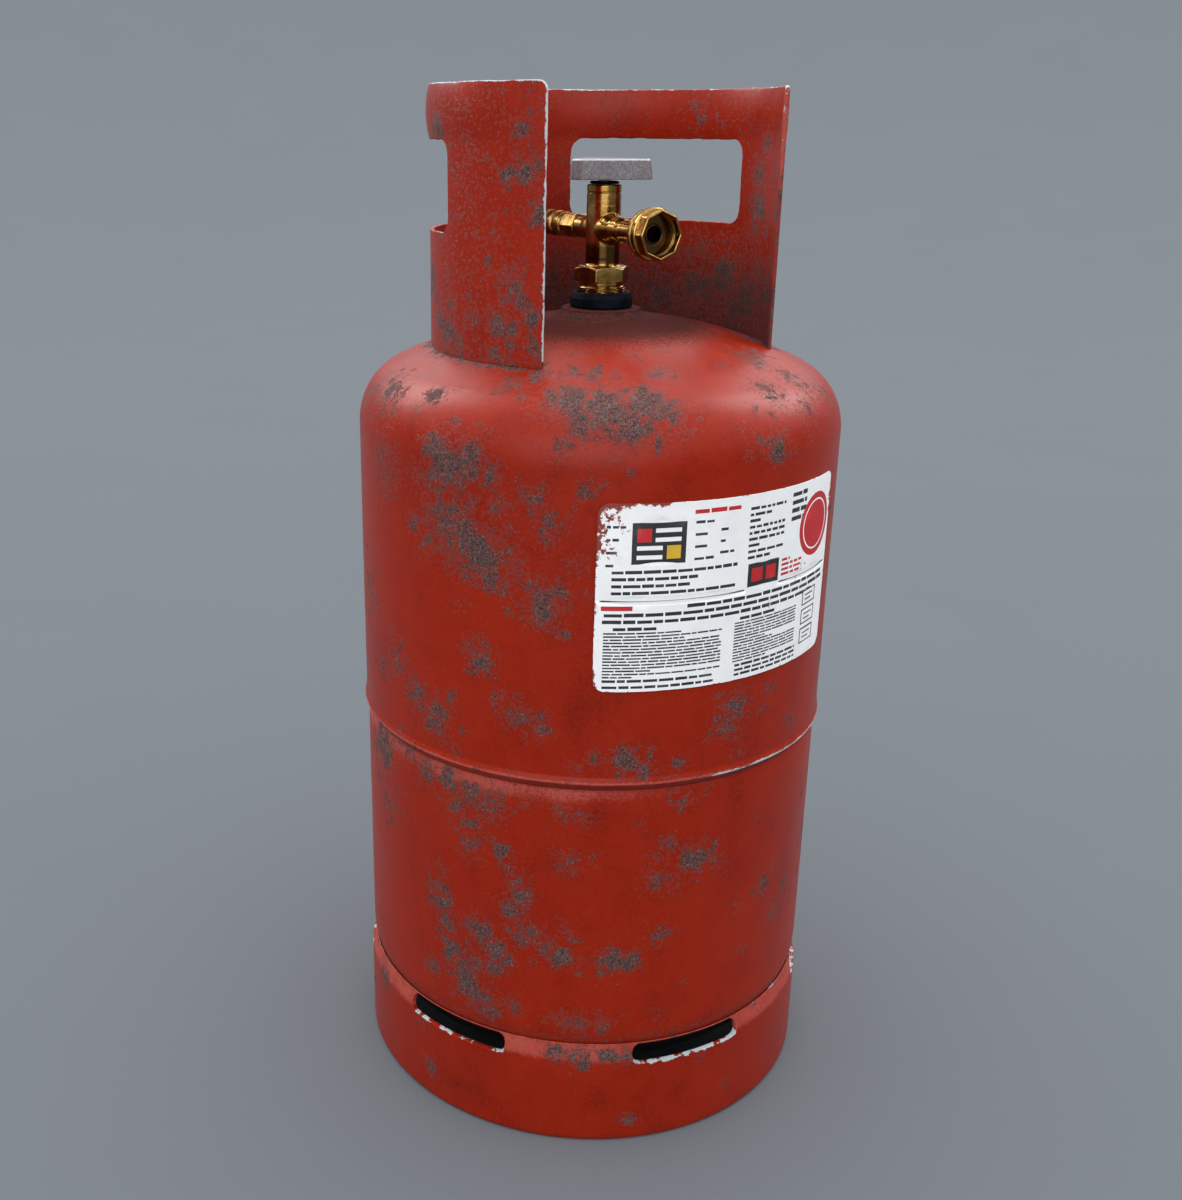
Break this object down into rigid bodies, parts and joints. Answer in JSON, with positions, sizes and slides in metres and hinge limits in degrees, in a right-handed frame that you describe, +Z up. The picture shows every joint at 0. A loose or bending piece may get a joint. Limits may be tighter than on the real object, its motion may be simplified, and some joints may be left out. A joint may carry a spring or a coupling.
{
  "type": "propane tank",
  "caption": "Upright welded steel gas cylinder with an open-fronted guard collar, brass service valve with handwheel and relief arm, and a slotted foot ring.",
  "frame": {"origin": "on the floor, on the cylinder's axis, at the foot ring's lower face", "axes": "+Z up along the cylinder's axis; -Y towards the valve outlet and the open front of the guard collar"},
  "size_m": [0.3024, 0.3024, 0.63],
  "materials": {
    "red_paint": "worn red enamel, chipped and spotted with corrosion",
    "weld_paint": "painted weld bead, scaled",
    "brass": "machined, slightly tarnished",
    "steel": "machined",
    "wheel_grey": "cast, speckled grey",
    "black_rubber": "moulded",
    "label_white": "worn white film",
    "cap_red": "soft moulded"
  },
  "bodies": {
    "tank": {"upper_shell": "red_paint", "lower_shell": "red_paint", "valve_boss": "red_paint", "guard_collar": "red_paint", "foot_ring": "red_paint", "girth_weld": "weld_paint", "boss_weld": "weld_paint", "valve_body": "brass", "outlet_socket": "brass", "bonnet": "brass", "relief_body": "brass", "relief_adjuster": "brass", "relief_spring": "steel", "neck_ring": "black_rubber", "outlet_washer": "black_rubber", "bonnet_washer": "black_rubber", "dust_seal": "black_rubber", "label": "label_white"},
    "handwheel": {"handwheel": "wheel_grey", "handwheel_washer": "steel", "handwheel_screw": "steel", "spindle": "steel", "spindle_oring_lower": "black_rubber", "spindle_oring_upper": "black_rubber"},
    "plug": {"valve_plug": "brass", "seat_disc": "black_rubber"},
    "poppet": {"relief_poppet": "brass", "relief_seal": "black_rubber"},
    "cap": {"relief_cap": "cap_red"}
  },
  "joints": [
    {"name": "handwheel_turn", "type": "hinge", "parent": "tank", "child": "handwheel", "pos_m": [0, 0, 0.58], "axis": [0, 0, 1], "range_deg": [0, 900]},
    {"name": "plug_lift", "type": "slide", "parent": "handwheel", "child": "plug", "axis": [0, 0, 1], "range_m": [0, 0.003]},
    {"name": "relief_lift", "type": "slide", "parent": "tank", "child": "poppet", "axis": [0, 1, 0], "range_m": [0, 0.0015], "stiffness_N_per_m": 8000, "springref_m": -0.0065, "deforming": ["relief_spring"]},
    {"name": "cap_pull", "type": "slide", "parent": "tank", "child": "cap", "axis": [0, 1, 0], "range_m": [0, 0.008]}
  ],
  "couplings": [
    {"joint": "plug_lift", "follows": "handwheel_turn", "m_per_rad": 0.00019}
  ]
}
